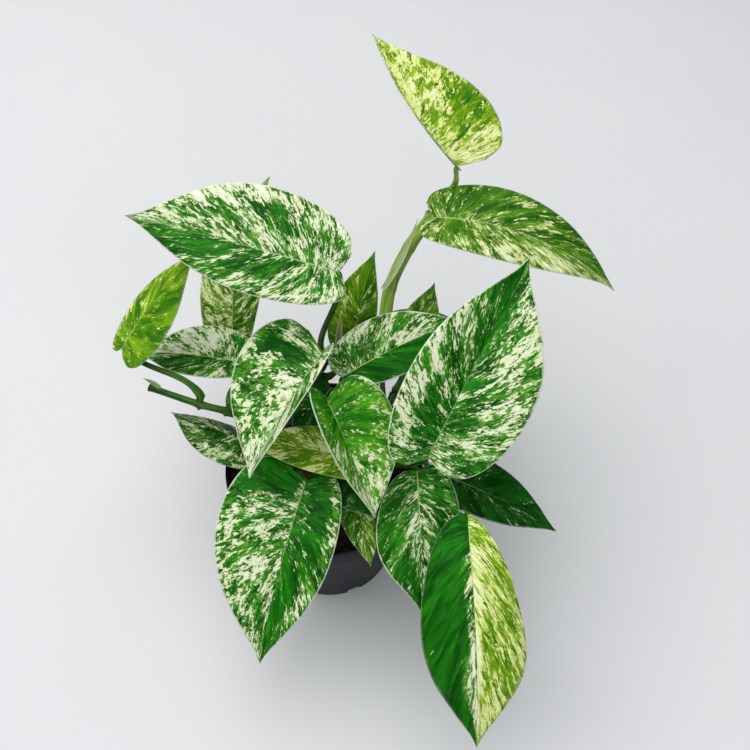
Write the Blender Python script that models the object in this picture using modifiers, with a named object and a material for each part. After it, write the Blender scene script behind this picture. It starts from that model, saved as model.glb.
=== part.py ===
"""A variegated pothos in a round nursery pot, standing on its base.

Origin: centre of the pot's underside, +Z up. Sizes are in metres; the planting plan (vines and
leaves) is written in millimetres, and mm() turns it into metres and fits it to the pot.
"""

import math
from collections import namedtuple

import bmesh
import bpy
from mathutils import Matrix, Vector

TURN_STEPS = 40

# Pot: a thin-walled tapered nursery pot with a stepped rim band.
POT_HEIGHT = 0.088
POT_RIM_RADIUS = 0.0505
POT_BASE_RADIUS = 0.036
POT_WALL = 0.0014
RIM_BAND_HEIGHT = 0.012
RIM_BAND_STEP = 0.0022
DRAIN_HOLES = 8
DRAIN_RADIUS = 0.0042

# The planting plan's millimetre. The plan is drawn for a rim of this radius and height; the plant
# grows with the rim's radius and stands as high above the rim as drawn.
PLAN_RIM_RADIUS = 50.5
PLAN_RIM_HEIGHT = 88
MM = POT_RIM_RADIUS / PLAN_RIM_RADIUS

# Soil: a plug that fills the pot to a little under its rim.
CLEARANCE = 0.0003
SOIL_BELOW_RIM = 0.008
SOIL_CROWN = 0.003
SOCKET_GAP = 0.0005

# Plant.
PLANTING_DEPTH = 0.014
VINE_SIDES_RESOLUTION = 2
VINE_STEPS_PER_POINT = 3
NODE_SWELLING = 1.25
PETIOLE_BASE_RADIUS = 1.7 * MM
PETIOLE_TIP_RADIUS = 1.2 * MM
PETIOLE_STEPS = 7
PETIOLE_END_GAP = 2.5 * MM
BLADE_THICKNESS = 0.8 * MM
BLADE_CELLS_ALONG = 8
BLADE_CELLS_ACROSS = 6

# Half of a heart-shaped blade, from the back of the lobe round to the tip, as shares of the half
# width and of the midrib's length. The stalk joins at (0, 0).
OUTLINE = (
    (0.30, -0.075),
    (0.62, -0.085),
    (0.87, 0.015),
    (0.99, 0.190),
    (0.96, 0.400),
    (0.76, 0.600),
    (0.41, 0.785),
    (0.13, 0.915),
    (0.00, 1.000),
)
VEIN_LEAD = 0.25
VEIN_BOW = 0.30

Vine = namedtuple("Vine", "radius path")
VINES = {
    "vine_tall": Vine(
        3.7,
        [
            (20, 25, 84), (24, 41, 98), (30, 62, 112), (34, 84, 128),
            (44, 100, 142), (56, 113, 152), (66, 124, 158),
        ],
    ),
    "vine_left": Vine(2.0, [(-24, 16, 84), (-34, 17, 98), (-48, 17, 111), (-62, 19, 115), (-88, 29, 115)]),
    "vine_crown": Vine(
        2.4, [(-4, 38, 84), (-5, 41, 90), (-5, 44, 96), (-4, 46, 102), (-2, 47, 108), (1, 47, 114)]
    ),
    "vine_centre": Vine(2.4, [(12, 10, 84), (13, 12, 90), (13, 12, 96), (12, 12, 102), (11, 12, 108)]),
    "vine_right": Vine(
        2.4, [(26, 0, 84), (32, 2, 91), (39, 1, 96), (46, -11, 98), (57, -25, 99), (68, -36, 98)]
    ),
    "vine_front": Vine(2.2, [(-12, -8, 84), (-13, -7, 88), (-12, -8, 93), (-11, -10, 98)]),
    "vine_back": Vine(2.2, [(29, 23, 84), (32, 29, 93), (36, 37, 98)]),
}

# base, tip: the midrib's two ends, mm. left, right: half widths, mm. roll: lowers the right half,
# degrees. fold: rise of each half from the midrib (left, right), degrees. cup: how much each half
# bends down towards its margin, degrees. bend: arch of the midrib, degrees.
# vine, at: the vine that carries the leaf, and the point of its path.
# side: sideways curve of the midrib, degrees. twist: turn about the midrib from stalk to tip,
# degrees. sweep: how far each half (left, right) leans towards the tip, as a share of the length.
# neck: how much each half (left, right) is drawn in at the stalk, as a share of its width.
Leaf = namedtuple(
    "Leaf",
    "base tip left right roll fold cup bend vine at side twist sweep neck",
    defaults=(0, 0, (0, 0), (0, 0)),
)
LEAVES = {
    "leaf_top_left": Leaf(
        (10, 40, 190), (-91, 76, 189), 21, 29, -30, (10, 8), 15, 20, "vine_crown", 5, sweep=(0.08, 0.14)
    ),
    "leaf_top": Leaf(
        (67, 120, 180), (25, 181, 214), 10, 33, -10, (75, 10), 15, 15, "vine_tall", 6,
        side=-28, neck=(0.8, -0.35),
    ),
    "leaf_top_right": Leaf(
        (56, 98, 166), (148, 72, 140), 22, 21, 5, (15, 15), 25, 65, "vine_tall", 5,
        sweep=(0.08, 0.08), neck=(-0.3, 0),
    ),
    "leaf_right": Leaf(
        (50, -22, 132), (98, 58, 180), 28, 33, 10, (35, 10), 15, 15, "vine_right", 1, sweep=(0.05, 0.14)
    ),
    "leaf_hanging": Leaf(
        (68, -44, 120), (73, -129, 52), 27, 27, 0, (5, 5), 35, 50, "vine_right", 5,
        sweep=(0.35, 0.22), neck=(0.75, 0.5),
    ),
    "leaf_front_right": Leaf(
        (46, -18.5, 115), (49, -77, 78), 19, 21, 0, (10, 10), 15, 25, "vine_right", 3, sweep=(0.12, 0.25)
    ),
    "leaf_low_right": Leaf((57, -14, 104), (117, -32, 76), 17, 15, 0, (10, 10), 10, 25, "vine_right", 2),
    "leaf_centre": Leaf((4, -1, 150), (26, -45, 118), 26, 18, 0, (10, 60), 15, 30, "vine_centre", 4),
    "leaf_crown": Leaf(
        (2, 18, 160), (-31, -31, 130), 13, 34, 0, (55, 5), 15, 30, "vine_crown", 4, neck=(0.3, -0.2)
    ),
    "leaf_crown_right": Leaf(
        (10, 20, 137), (72, 52, 140), 20, 17, 0, (15, 15), 15, 30, "vine_centre", 3, sweep=(0.12, 0.2)
    ),
    "leaf_front_left": Leaf(
        (-7, -23, 112), (-29, -93, 60), 23, 34, 0, (10, 10), 15, 40, "vine_front", 3,
        sweep=(0.05, 0.05), neck=(0, -0.2),
    ),
    "leaf_middle": Leaf((25, -15, 116), (-40, -1, 113), 13, 14, 0, (10, 10), 10, 20, "vine_centre", 2),
    "leaf_left": Leaf(
        (-41, 41, 120), (-101, 56, 108), 14, 19, 0, (10, 10), 10, 20, "vine_left", 2, sweep=(0.1, 0.1)
    ),
    "leaf_far_left": Leaf(
        (-100, 41, 132), (-62, 76, 165), 13, 22, -10, (0, 0), 10, 20, "vine_left", 3, neck=(0.2, 0.3)
    ),
    "leaf_behind": Leaf(
        (-49, 58, 110), (-31, 140, 155), 20, 18, 0, (10, 10), 10, 20, "vine_crown", 1,
        side=-30, sweep=(0, 0.1), neck=(0.7, 0.7),
    ),
    "leaf_upright": Leaf((14, 50, 122), (26, 76, 165), 15, 10, 0, (10, 10), 10, 10, "vine_crown", 3),
    "leaf_back_tip": Leaf((46, 58, 107), (57, 80, 137), 11, 11, 0, (10, 10), 10, 10, "vine_back", 2),
    "leaf_back_low": Leaf((32, 80, 96), (80, 82, 96), 13, 13, 0, (10, 10), 10, 20, "vine_back", 1),
    "leaf_low_left": Leaf((-34, 3, 99), (-81, 28, 93), 17, 12, 0, (10, -35), 10, 20, "vine_front", 2),
    "leaf_low_centre": Leaf((8, -14, 106), (32, -39, 103), 12, 13, 0, (10, 10), 10, 20, "vine_front", 1),
    "leaf_low_front": Leaf((15, -20, 99), (24, -55, 86), 10, 10, 0, (10, 10), 10, 60, "vine_centre", 1),
    "leaf_inner": Leaf((3, 36, 104), (-16, 6, 97), 12, 12, 0, (10, 10), 10, 20, "vine_crown", 2),
}

COLOURS = {
    "pot": (0.012, 0.013, 0.016, 1),
    "soil": (0.05, 0.03, 0.02, 1),
    "vine": (0.16, 0.30, 0.06, 1),
    "petiole": (0.20, 0.36, 0.08, 1),
    "leaf": (0.10, 0.32, 0.06, 1),
}


def mm(point):
    """A point of the planting plan, in metres from the pot's underside."""
    x, y, z = point
    return Vector((x * MM, y * MM, POT_HEIGHT + (z - PLAN_RIM_HEIGHT) * MM))


def clear_scene():
    for obj in list(bpy.data.objects):
        bpy.data.objects.remove(obj, do_unlink=True)


def new_collection(name):
    collection = bpy.data.collections.new(name)
    bpy.context.scene.collection.children.link(collection)
    return collection


def material(name, roughness):
    made = bpy.data.materials.new(name)
    made.use_nodes = True
    shader = made.node_tree.nodes["Principled BSDF"]
    shader.inputs["Base Color"].default_value = COLOURS[name]
    shader.inputs["Roughness"].default_value = roughness
    shader.inputs["Metallic"].default_value = 0.0
    return made


def catmull_rom(points, u):
    """The point at u, from 0 to len(points) - 1, of a smooth curve through the points."""
    i = min(int(u), len(points) - 2)
    f = u - i
    p1, p2 = Vector(points[i]), Vector(points[i + 1])
    p0 = Vector(points[i - 1]) if i else p1 * 2 - p2
    p3 = Vector(points[i + 2]) if i + 2 < len(points) else p2 * 2 - p1
    return 0.5 * (
        2 * p1 + (p2 - p0) * f + (2 * p0 - 5 * p1 + 4 * p2 - p3) * f**2 + (3 * p1 - p0 - 3 * p2 + p3) * f**3
    )


def mesh_object(name, mesh, slot, collection):
    obj = bpy.data.objects.new(name, mesh)
    collection.objects.link(obj)
    obj.data.materials.append(slot)
    return obj


def turned(name, profile, slot, collection):
    """A profile of (radius, height) pairs turned about Z."""
    mesh = bpy.data.meshes.new(name)
    verts = [(r, 0, z) for r, z in profile]
    edges = [(i, i + 1) for i in range(len(profile) - 1)]
    mesh.from_pydata(verts, edges, [])
    obj = mesh_object(name, mesh, slot, collection)
    screw = obj.modifiers.new("turn", "SCREW")
    screw.steps = screw.render_steps = TURN_STEPS
    screw.use_merge_vertices = True
    screw.merge_threshold = 0.00005
    return obj


def cylinder(name, radius, low, high, x, y, sides, collection):
    """A vertical cylinder between two heights."""
    mesh = bpy.data.meshes.new(name)
    shape = bmesh.new()
    bmesh.ops.create_cone(
        shape, cap_ends=True, segments=sides, radius1=radius, radius2=radius, depth=high - low
    )
    shape.to_mesh(mesh)
    shape.free()
    obj = bpy.data.objects.new(name, mesh)
    collection.objects.link(obj)
    obj.location = (x, y, (low + high) / 2)
    obj.hide_render = True
    obj.display_type = "WIRE"
    return obj


def cut(obj, cutter):
    boolean = obj.modifiers.new(cutter.name, "BOOLEAN")
    boolean.operation = "DIFFERENCE"
    boolean.object = cutter


def outer_radius(z):
    """The pot wall's outer radius at a height, under the rim band."""
    share = z / POT_HEIGHT
    return POT_BASE_RADIUS + (POT_RIM_RADIUS - RIM_BAND_STEP - POT_BASE_RADIUS) * share


def make_pot(slot, parts, cutters):
    band_foot = POT_HEIGHT - RIM_BAND_HEIGHT
    profile = [
        (0, POT_WALL),
        (outer_radius(POT_WALL) - POT_WALL, POT_WALL),
        (outer_radius(band_foot) - POT_WALL, band_foot),
        (POT_RIM_RADIUS - POT_WALL, band_foot + RIM_BAND_STEP),
        (POT_RIM_RADIUS - POT_WALL, POT_HEIGHT),
        (POT_RIM_RADIUS, POT_HEIGHT),
        (POT_RIM_RADIUS, band_foot),
        (outer_radius(band_foot), band_foot),
        (outer_radius(0), 0),
        (0, 0),
    ]
    pot = turned("pot", profile, slot, parts)
    for i in range(DRAIN_HOLES):
        angle = math.tau * (i + 0.5) / DRAIN_HOLES
        reach = POT_BASE_RADIUS - DRAIN_RADIUS / 2
        hole = cylinder(
            f"drain_cutter_{i + 1}",
            DRAIN_RADIUS,
            -0.004,
            0.005,
            reach * math.cos(angle),
            reach * math.sin(angle),
            10,
            cutters,
        )
        cut(pot, hole)
    return pot


def soil_top(radius):
    """The soil's height at a distance from the pot's axis: a low crown."""
    edge = POT_RIM_RADIUS - POT_WALL - CLEARANCE
    return POT_HEIGHT - SOIL_BELOW_RIM + SOIL_CROWN * (1 - (radius / edge) ** 2)


def make_soil(slot, parts, cutters):
    band_foot = POT_HEIGHT - RIM_BAND_HEIGHT
    gap = POT_WALL + CLEARANCE
    floor = POT_WALL + CLEARANCE
    edge = POT_RIM_RADIUS - gap
    profile = [(edge * share, soil_top(edge * share)) for share in (0, 0.35, 0.7, 1)]
    profile += [
        (edge, band_foot + RIM_BAND_STEP + CLEARANCE),
        (outer_radius(band_foot) - gap, band_foot + CLEARANCE),
        (outer_radius(floor) - gap, floor),
        (0, floor),
    ]
    soil = turned("soil", profile, slot, parts)
    for name, vine in VINES.items():
        x, y, _ = mm(vine.path[0])
        root = root_height(vine)
        radius = vine.radius * MM + SOCKET_GAP
        cut(soil, cylinder(f"{name}_socket", radius, root - SOCKET_GAP, POT_HEIGHT, x, y, 14, cutters))
    return soil


def root_height(vine):
    """Height of the vine's buried end."""
    x, y, _ = mm(vine.path[0])
    return soil_top(math.hypot(x, y)) - PLANTING_DEPTH


def tube(name, points, radii, resolution, slot, collection):
    """A round stem through the points, with its origin at the first."""
    curve = bpy.data.curves.new(name, "CURVE")
    curve.dimensions = "3D"
    curve.bevel_depth = 1.0
    curve.bevel_resolution = resolution
    curve.use_fill_caps = True
    spline = curve.splines.new("POLY")
    spline.points.add(len(points) - 1)
    for spot, point, radius in zip(spline.points, points, radii):
        spot.co = (*(point - points[0]), 1)
        spot.radius = radius
    obj = bpy.data.objects.new(name, curve)
    obj.location = points[0]
    collection.objects.link(obj)
    curve.materials.append(slot)
    return obj


def vine_points(vine):
    """(points, radii) from the buried end to the growing end, swollen at each node."""
    start = mm(vine.path[0])
    points = [Vector((start.x, start.y, root_height(vine)))]
    radii = [vine.radius * MM]
    path = [mm(p) for p in vine.path]
    count = (len(path) - 1) * VINE_STEPS_PER_POINT
    for i in range(count + 1):
        u = i / VINE_STEPS_PER_POINT
        at_node = i % VINE_STEPS_PER_POINT == 0 and i > 0
        points.append(catmull_rom(path, u))
        taper = 1 - 0.15 * i / count
        radii.append(vine.radius * MM * taper * (NODE_SWELLING if at_node else 1))
    return points, radii


def blade_frame(leaf):
    """Where a blade is: its origin at the stalk, X to its right, Y to its tip and Z up."""
    along = (mm(leaf.tip) - mm(leaf.base)).normalized()
    up = (Vector((0, 0, 1)) - along * along.z).normalized()
    right = along.cross(up)
    axes = Matrix((right, along, up)).transposed() @ Matrix.Rotation(math.radians(leaf.roll), 3, "Y")
    return Matrix.Translation(mm(leaf.base)) @ axes.to_4x4()


def arc(share, angle):
    """(run, rise, slope) at a share of an arc of unit chord that turns through an angle."""
    if angle == 0:
        return share, 0, 0
    slope = angle * (0.5 - share)
    size = 0.5 / math.sin(angle / 2)
    run = (math.sin(angle / 2) - math.sin(slope)) * size
    rise = (math.cos(slope) - math.cos(angle / 2)) * size
    return run, rise, slope


def blade_point(leaf, s, t):
    """A point of the blade, in its own frame.

    s runs from the left margin, -1, to the right, 1. t runs from the lobes, 0, to the tip, 1, and a
    line of one t is a side vein, which leaves the midrib well below the place where it ends.
    """
    halves = ((leaf.left, leaf.right), leaf.fold, leaf.sweep, leaf.neck)
    half, fold, sweep, neck = [pair[1] if s > 0 else pair[0] for pair in halves]
    wide, far = catmull_rom(OUTLINE, t * (len(OUTLINE) - 1))
    lobe = 1 - neck * (1 - t) ** 3
    wide *= lobe
    if far < 0:
        far *= lobe
    far += sweep * wide * (1 - far)
    v = abs(s)
    near = VEIN_LEAD * t + (1 - VEIN_LEAD) * t**3
    share = (1 - v) * near + v * far - VEIN_BOW * v * (1 - v) * t * (1 - t)
    flat = half * MM * wide * v
    mean = math.radians(fold - leaf.cup * wide * v / 2)
    across, lift = math.copysign(flat, s) * math.cos(mean), flat * math.sin(mean)

    chord = (mm(leaf.tip) - mm(leaf.base)).length
    run, rise, pitch = arc(share, math.radians(leaf.bend))
    _, drift, yaw = arc(share, math.radians(leaf.side))
    turn = Matrix.Rotation(-yaw, 3, "Z") @ Matrix.Rotation(pitch, 3, "X")
    turn = turn @ Matrix.Rotation(math.radians(leaf.twist) * (share - 0.5), 3, "Y")
    return Vector((drift, run, rise)) * chord + turn @ Vector((across, 0, lift))


def make_blade(name, leaf, slot, collection):
    mesh = bpy.data.meshes.new(name)
    shape = bmesh.new()
    bmesh.ops.create_grid(shape, x_segments=BLADE_CELLS_ACROSS, y_segments=BLADE_CELLS_ALONG, size=1)
    for vert in shape.verts:
        vert.co = blade_point(leaf, vert.co.x, (vert.co.y + 1) / 2)
    bmesh.ops.remove_doubles(shape, verts=shape.verts, dist=1e-5)
    shape.to_mesh(mesh)
    shape.free()
    mesh.shade_smooth()
    obj = mesh_object(name, mesh, slot, collection)
    obj.matrix_world = blade_frame(leaf)
    skin = obj.modifiers.new("thickness", "SOLIDIFY")
    skin.thickness = BLADE_THICKNESS
    skin.offset = 0
    return obj


def petiole_points(leaf):
    """The stalk's line, from beside its vine's node to just short of the blade."""
    vine = VINES[leaf.vine]
    node, base = mm(vine.path[leaf.at]), mm(leaf.base)
    ahead = mm(vine.path[min(leaf.at + 1, len(vine.path) - 1)])
    behind = mm(vine.path[leaf.at - 1])
    growth = (ahead - behind).normalized()
    reach = base - node
    outward = (reach - growth * reach.dot(growth)).normalized()
    if leaf.at == len(vine.path) - 1:
        start = node + growth * (CLEARANCE + PETIOLE_BASE_RADIUS)
        start += outward * PETIOLE_BASE_RADIUS
    else:
        start = node + outward * (vine.radius * MM * NODE_SWELLING + PETIOLE_BASE_RADIUS + CLEARANCE)
    axes = blade_frame(leaf).to_3x3()
    up = axes.col[2]
    half_bend = math.radians(leaf.bend) / 2
    onward = axes @ Vector((0, math.cos(half_bend), math.sin(half_bend)))
    arrive = ((base - start).normalized() + onward * 0.2 + Vector((0, 0, 0.1))).normalized()
    # A stalk that meets the blade from straight below can end nearer to it.
    upright = max(arrive.dot(up), 0) ** 2
    end = base - arrive * PETIOLE_END_GAP * (1 - 0.5 * upright)
    end -= up * PETIOLE_END_GAP * 0.6 * (1 - upright)
    span = (end - start).length
    leave = (growth + outward).normalized()
    handles = (start, start + leave * span * 0.35, end - arrive * span * 0.35, end)
    points = []
    for i in range(PETIOLE_STEPS + 1):
        f = i / PETIOLE_STEPS
        weights = ((1 - f) ** 3, 3 * f * (1 - f) ** 2, 3 * f**2 * (1 - f), f**3)
        points.append(sum((h * w for h, w in zip(handles, weights)), Vector()))
    radii = [
        PETIOLE_BASE_RADIUS + (PETIOLE_TIP_RADIUS - PETIOLE_BASE_RADIUS) * i / PETIOLE_STEPS
        for i in range(PETIOLE_STEPS + 1)
    ]
    return points, radii


def build():
    clear_scene()
    parts, cutters = new_collection("potted_pothos"), new_collection("cutters")
    leaf_slot = material("leaf", 0.4)
    stalk_slot = material("petiole", 0.45)
    vine_slot = material("vine", 0.5)
    make_pot(material("pot", 0.4), parts, cutters)
    make_soil(material("soil", 0.95), parts, cutters)
    for name, vine in VINES.items():
        tube(name, *vine_points(vine), VINE_SIDES_RESOLUTION, vine_slot, parts)
    for name, leaf in LEAVES.items():
        make_blade(name, leaf, leaf_slot, parts)
        tube(name.replace("leaf", "petiole", 1), *petiole_points(leaf), 1, stalk_slot, parts)


build()
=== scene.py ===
"""The looks of a variegated pothos in a nursery pot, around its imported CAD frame.

Sizes are in metres, but the planting plan (vines and leaves) is in millimetres, turned into metres
by mm(). It repeats the plan that the CAD model was made from, and draws it finer.
"""

import math  # noqa: E402
import random  # noqa: E402
from collections import namedtuple  # noqa: E402

import bmesh  # noqa: E402
import bpy  # noqa: E402
from mathutils import Matrix, Vector, noise  # noqa: E402


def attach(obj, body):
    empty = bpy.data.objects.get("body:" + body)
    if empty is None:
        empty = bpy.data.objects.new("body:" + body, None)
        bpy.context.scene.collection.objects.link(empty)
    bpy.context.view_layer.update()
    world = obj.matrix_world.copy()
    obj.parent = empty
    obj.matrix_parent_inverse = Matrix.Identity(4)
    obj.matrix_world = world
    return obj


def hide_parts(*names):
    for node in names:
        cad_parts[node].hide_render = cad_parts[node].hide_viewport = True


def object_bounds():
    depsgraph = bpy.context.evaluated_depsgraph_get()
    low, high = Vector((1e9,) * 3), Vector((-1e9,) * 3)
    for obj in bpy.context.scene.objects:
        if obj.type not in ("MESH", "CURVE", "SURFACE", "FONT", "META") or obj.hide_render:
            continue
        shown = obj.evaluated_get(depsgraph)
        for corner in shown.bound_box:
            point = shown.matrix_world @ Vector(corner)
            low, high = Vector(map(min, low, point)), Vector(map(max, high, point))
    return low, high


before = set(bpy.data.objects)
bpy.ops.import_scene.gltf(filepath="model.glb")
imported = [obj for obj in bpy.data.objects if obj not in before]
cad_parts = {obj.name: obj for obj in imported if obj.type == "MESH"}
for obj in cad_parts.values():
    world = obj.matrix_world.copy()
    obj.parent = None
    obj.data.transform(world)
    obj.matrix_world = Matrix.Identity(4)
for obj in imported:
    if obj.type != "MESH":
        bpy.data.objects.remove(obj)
CAD_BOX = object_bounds()

MM = 0.001
SEED = 11

# Camera: where it stands, how far it looks down, and the width of its view.
CAMERA_PLACE = (0.026, -0.2217, 0.4841)
CAMERA_DOWN = 55
CAMERA_LENS = 42.3
SENSOR = 36

# Pot, as in the CAD source.
POT_HEIGHT = 0.088
POT_RIM_RADIUS = 0.0505
POT_BASE_RADIUS = 0.036
POT_WALL = 0.0014
RIM_BAND_HEIGHT = 0.012
RIM_BAND_STEP = 0.0022
DRAIN_HOLES = 8
DRAIN_RADIUS = 0.0042
DRAIN_DEPTH = 0.009
DRAIN_RISE = 0.0005
POT_EDGE_ROUND = 0.00035
SHARP_ANGLE = 40
TURN_STEPS = 128

# Soil.
CLEARANCE = 0.0003
SOIL_BELOW_RIM = 0.008
SOIL_CROWN = 0.003
SOIL_RINGS = 30
SOIL_LUMPS = 0.0011
# Loose grains: how many, the smallest and largest, and how deep they sit, as a share of a grain.
CRUMBS = (420, 0.0006, 0.0019, 0.5)
PERLITE = (34, 0.0007, 0.0014, 0.4)

# Plant.
PLANTING_DEPTH = 0.014
NODE_SWELLING = 1.25
NODE_LENGTH = 0.0022
PLAIN_NODE = 0.3
VINE_TAPER = 0.15
VINE_SIDE = Vector((0.3, -1, 0.4))
BUD_SIZES = (0.0008, 0.0013)
BUD_STRETCH = 1.7
PETIOLE_BASE_RADIUS = 0.0017
PETIOLE_TIP_RADIUS = 0.0012
PETIOLE_END_GAP = 0.0025
STALK_STEP = 0.0012
STALK_SIDES = 20
STALK_GROOVE = 0.35
GROOVE_ANGLE = 0.55
SKIN_UNEVENNESS = 0.03

# A stalk's line, and how much it thickens where it clasps the vine and at the joint by the blade,
# as shares of its length and of its radius.
HANDLE_LENGTH = 0.35
CLASP_SWELLING = 0.35
CLASP_LENGTH = 0.12
JOINT_SWELLING = 0.2
JOINT_PLACE = 0.93
JOINT_LENGTH = 0.05

# Blades.
BLADE_THICKNESS = 0.0005
SHEATH_THICKNESS = 0.0003
BLADE_CELLS_ALONG = 72
BLADE_CELLS_ACROSS = 36
MIDRIB_DEPTH = 0.00055
MIDRIB_WIDTH = 0.0012
VEIN_SPACING = 0.0052
VEIN_DEPTH = 0.00024
EDGE_WAVE = 0.0007
WINDOW_SOFTNESS = 0.07

# Half of a heart-shaped blade, from the back of the lobe round to the tip, as shares of the half
# width and of the midrib's length. The stalk joins at (0, 0).
OUTLINE = (
    (0.30, -0.075),
    (0.62, -0.085),
    (0.87, 0.015),
    (0.99, 0.190),
    (0.96, 0.400),
    (0.76, 0.600),
    (0.41, 0.785),
    (0.13, 0.915),
    (0.00, 1.000),
)
VEIN_LEAD = 0.25
VEIN_BOW = 0.30

Vine = namedtuple("Vine", "radius path")
VINES = {
    "vine_tall": Vine(
        3.7,
        [
            (20, 25, 84), (24, 41, 98), (30, 62, 112), (34, 84, 128),
            (44, 100, 142), (56, 113, 152), (66, 124, 158),
        ],
    ),
    "vine_left": Vine(
        2.0, [(-24, 16, 84), (-34, 17, 98), (-48, 17, 111), (-62, 19, 115), (-88, 29, 115)]
    ),
    "vine_crown": Vine(
        2.4, [(-4, 38, 84), (-5, 41, 90), (-5, 44, 96), (-4, 46, 102), (-2, 47, 108), (1, 47, 114)]
    ),
    "vine_centre": Vine(2.4, [(12, 10, 84), (13, 12, 90), (13, 12, 96), (12, 12, 102), (11, 12, 108)]),
    "vine_right": Vine(
        2.4, [(26, 0, 84), (32, 2, 91), (39, 1, 96), (46, -11, 98), (57, -25, 99), (68, -36, 98)]
    ),
    "vine_front": Vine(2.2, [(-12, -8, 84), (-13, -7, 88), (-12, -8, 93), (-11, -10, 98)]),
    "vine_back": Vine(2.2, [(29, 23, 84), (32, 29, 93), (36, 37, 98)]),
}

# base, tip: the midrib's two ends, mm. left, right: half widths, mm. roll: lowers the right half,
# degrees. fold: rise of each half from the midrib (left, right), degrees. cup: how much each half
# bends down towards its margin, degrees. bend: arch of the midrib, degrees.
# vine, at: the vine that carries the leaf, and the point of its path.
# side: sideways curve of the midrib, degrees. twist: turn about the midrib from stalk to tip,
# degrees. sweep: how far each half (left, right) leans towards the tip, as a share of the length.
# neck: how much each half (left, right) is drawn in at the stalk, as a share of its width.
Leaf = namedtuple(
    "Leaf",
    "base tip left right roll fold cup bend vine at side twist sweep neck",
    defaults=(0, 0, (0, 0), (0, 0)),
)
LEAVES = {
    "leaf_top_left": Leaf(
        (10, 40, 190), (-91, 76, 189), 21, 29, -30, (10, 8), 15, 20, "vine_crown", 5,
        sweep=(0.08, 0.14),
    ),
    "leaf_top": Leaf(
        (67, 120, 180), (25, 181, 214), 10, 33, -10, (75, 10), 15, 15, "vine_tall", 6,
        side=-28, neck=(0.8, -0.35),
    ),
    "leaf_top_right": Leaf(
        (56, 98, 166), (148, 72, 140), 22, 21, 5, (15, 15), 25, 65, "vine_tall", 5,
        sweep=(0.08, 0.08), neck=(-0.3, 0),
    ),
    "leaf_right": Leaf(
        (50, -22, 132), (98, 58, 180), 28, 33, 10, (35, 10), 15, 15, "vine_right", 1,
        sweep=(0.05, 0.14),
    ),
    "leaf_hanging": Leaf(
        (68, -44, 120), (73, -129, 52), 27, 27, 0, (5, 5), 35, 50, "vine_right", 5,
        sweep=(0.35, 0.22), neck=(0.75, 0.5),
    ),
    "leaf_front_right": Leaf(
        (46, -18.5, 115), (49, -77, 78), 19, 21, 0, (10, 10), 15, 25, "vine_right", 3,
        sweep=(0.12, 0.25),
    ),
    "leaf_low_right": Leaf((57, -14, 104), (117, -32, 76), 17, 15, 0, (10, 10), 10, 25, "vine_right", 2),
    "leaf_centre": Leaf((4, -1, 150), (26, -45, 118), 26, 18, 0, (10, 60), 15, 30, "vine_centre", 4),
    "leaf_crown": Leaf(
        (2, 18, 160), (-31, -31, 130), 13, 34, 0, (55, 5), 15, 30, "vine_crown", 4,
        neck=(0.3, -0.2),
    ),
    "leaf_crown_right": Leaf(
        (10, 20, 137), (72, 52, 140), 20, 17, 0, (15, 15), 15, 30, "vine_centre", 3,
        sweep=(0.12, 0.2),
    ),
    "leaf_front_left": Leaf(
        (-7, -23, 112), (-29, -93, 60), 23, 34, 0, (10, 10), 15, 40, "vine_front", 3,
        sweep=(0.05, 0.05), neck=(0, -0.2),
    ),
    "leaf_middle": Leaf((25, -15, 116), (-40, -1, 113), 13, 14, 0, (10, 10), 10, 20, "vine_centre", 2),
    "leaf_left": Leaf(
        (-41, 41, 120), (-101, 56, 108), 14, 19, 0, (10, 10), 10, 20, "vine_left", 2,
        sweep=(0.1, 0.1),
    ),
    "leaf_far_left": Leaf(
        (-100, 41, 132), (-62, 76, 165), 13, 22, -10, (0, 0), 10, 20, "vine_left", 3,
        neck=(0.2, 0.3),
    ),
    "leaf_behind": Leaf(
        (-49, 58, 110), (-31, 140, 155), 20, 18, 0, (10, 10), 10, 20, "vine_crown", 1,
        side=-30, sweep=(0, 0.1), neck=(0.7, 0.7),
    ),
    "leaf_upright": Leaf((14, 50, 122), (26, 76, 165), 15, 10, 0, (10, 10), 10, 10, "vine_crown", 3),
    "leaf_back_tip": Leaf((46, 58, 107), (57, 80, 137), 11, 11, 0, (10, 10), 10, 10, "vine_back", 2),
    "leaf_back_low": Leaf((32, 80, 96), (80, 82, 96), 13, 13, 0, (10, 10), 10, 20, "vine_back", 1),
    "leaf_low_left": Leaf((-34, 3, 99), (-81, 28, 93), 17, 12, 0, (10, -35), 10, 20, "vine_front", 2),
    "leaf_low_centre": Leaf((8, -14, 106), (32, -39, 103), 12, 13, 0, (10, 10), 10, 20, "vine_front", 1),
    "leaf_low_front": Leaf((15, -20, 99), (24, -55, 86), 10, 10, 0, (10, 10), 10, 60, "vine_centre", 1),
    "leaf_inner": Leaf((3, 36, 104), (-16, 6, 97), 12, 12, 0, (10, 10), 10, 20, "vine_crown", 2),
}

# How a leaf is marbled. left, right: from -1, plain green, to 1, all cream, for each half.
# greens: a palette for each half. rib: how cream the midrib is. windows: more cream (or less,
# below 0) in part of the blade, as (s from, s to, t from, t to, amount), s and t as in blade_point.
Look = namedtuple("Look", "left right greens rib windows", defaults=(("deep", "deep"), 0.5, ()))


def marbled(left, right, greens, rib=0.5, *windows):
    return Look(left, right, greens, rib, windows)


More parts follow.
